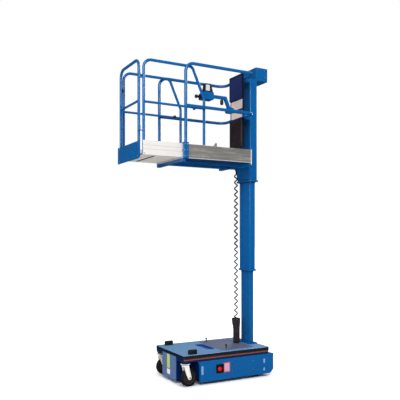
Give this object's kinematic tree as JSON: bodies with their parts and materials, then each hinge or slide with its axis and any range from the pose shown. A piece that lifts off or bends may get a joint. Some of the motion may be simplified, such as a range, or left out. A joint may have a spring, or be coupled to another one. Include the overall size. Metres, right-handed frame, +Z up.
{
  "type": "vertical mast lift",
  "caption": "Compact self-propelled vertical mast lift with a roll-out platform, shown raised with its extension rolled out.",
  "frame": {"origin": "on the floor below the middle of the machine's length and width", "axes": "+Z up, +X from the gate towards the mast, +Y to the left of someone on the platform who faces the mast"},
  "size_m": [1.808, 0.777, 3.773],
  "materials": {
    "blue_paint": "satin powder coat",
    "deck_paint": "satin paint",
    "plate_paint": "worn satin paint",
    "stripe": "satin paint",
    "aluminium": "extruded, matt",
    "bright_aluminium": "bright sheet",
    "black_rubber": "matt",
    "black_plastic": "moulded",
    "cable_sheath": "smooth sheath",
    "fork_paint": "zinc plated",
    "tyre": "solid rubber",
    "hub": "moulded",
    "steel": "turned",
    "battery_case": "moulded case",
    "stop_red": "red head on a black plate",
    "panel_dark": "dark sheet"
  },
  "bodies": {
    "chassis": {"chassis_frame": "blue_paint", "deck_cover": "deck_paint", "side_panels": "blue_paint", "stripes": "stripe", "nose_plate": "blue_paint", "rear_cover": "blue_paint", "battery_block": "battery_case", "deck_plate": "plate_paint", "deck_fittings": "black_rubber", "stop_button": "stop_red", "drive_units": "steel", "mast_base": "blue_paint", "cable_bin": "black_plastic", "coil_cable": "cable_sheath"},
    "mast_stage": {"mast_middle": "blue_paint"},
    "platform": {"mast_outer": "blue_paint", "mast_head": "blue_paint", "platform_frame": "blue_paint", "platform_floor": "aluminium", "toe_boards": "aluminium", "front_brackets": "blue_paint", "guide_rollers": "black_rubber", "guardrail_top": "blue_paint", "guardrail_mid": "blue_paint", "rail_saddles": "blue_paint", "document_panel": "panel_dark", "tool_box": "black_plastic", "control_arm": "blue_paint", "control_box": "blue_paint", "console_top": "black_plastic", "joystick": "black_plastic"},
    "extension": {"extension_deck": "bright_aluminium", "extension_hoop_left": "blue_paint", "extension_hoop_right": "blue_paint", "lock_knobs": "black_plastic"},
    "gate": {"gate_hoop": "blue_paint", "gate_kick_plate": "blue_paint", "gate_latch": "black_plastic"},
    "castor_left": {"castor_fork_left": "fork_paint"},
    "castor_wheel_left": {"castor_hub_left": "hub", "castor_tyre_left": "tyre"},
    "drive_wheel_left": {"drive_hub_left": "hub", "drive_tyre_left": "tyre"},
    "castor_right": {"castor_fork_right": "fork_paint"},
    "castor_wheel_right": {"castor_hub_right": "hub", "castor_tyre_right": "tyre"},
    "drive_wheel_right": {"drive_hub_right": "hub", "drive_tyre_right": "tyre"}
  },
  "joints": [
    {"name": "castor_swivel_left", "type": "hinge", "parent": "chassis", "child": "castor_left", "pos_m": [-0.352, 0.329, 0.2437], "axis": [0, 0, 1], "continuous": true},
    {"name": "castor_roll_left", "type": "hinge", "parent": "castor_left", "child": "castor_wheel_left", "pos_m": [-0.307, 0.329, 0.1], "axis": [0, 1, 0], "continuous": true},
    {"name": "drive_roll_left", "type": "hinge", "parent": "chassis", "child": "drive_wheel_left", "pos_m": [0.608, 0.297, 0.1], "axis": [0, 1, 0], "continuous": true},
    {"name": "castor_swivel_right", "type": "hinge", "parent": "chassis", "child": "castor_right", "pos_m": [-0.352, -0.329, 0.2437], "axis": [0, 0, 1], "continuous": true},
    {"name": "castor_roll_right", "type": "hinge", "parent": "castor_right", "child": "castor_wheel_right", "pos_m": [-0.307, -0.329, 0.1], "axis": [0, 1, 0], "continuous": true},
    {"name": "drive_roll_right", "type": "hinge", "parent": "chassis", "child": "drive_wheel_right", "pos_m": [0.608, -0.297, 0.1], "axis": [0, 1, 0], "continuous": true},
    {"name": "mast_lift", "type": "slide", "parent": "chassis", "child": "mast_stage", "axis": [0, 0, 1], "range_m": [-0.87, 0], "deforming": ["coil_cable"]},
    {"name": "platform_lift", "type": "slide", "parent": "mast_stage", "child": "platform", "axis": [0, 0, 1], "range_m": [-0.957, 0]},
    {"name": "extension_slide", "type": "slide", "parent": "platform", "child": "extension", "axis": [1, 0, 0], "range_m": [0, 0.45]},
    {"name": "gate_swing", "type": "hinge", "parent": "extension", "child": "gate", "pos_m": [-0.883, -0.297, 2.85], "axis": [0, 0, 1], "range_deg": [0, 95]}
  ],
  "couplings": [
    {"joint": "platform_lift", "follows": "mast_lift", "ratio": 1.1}
  ]
}
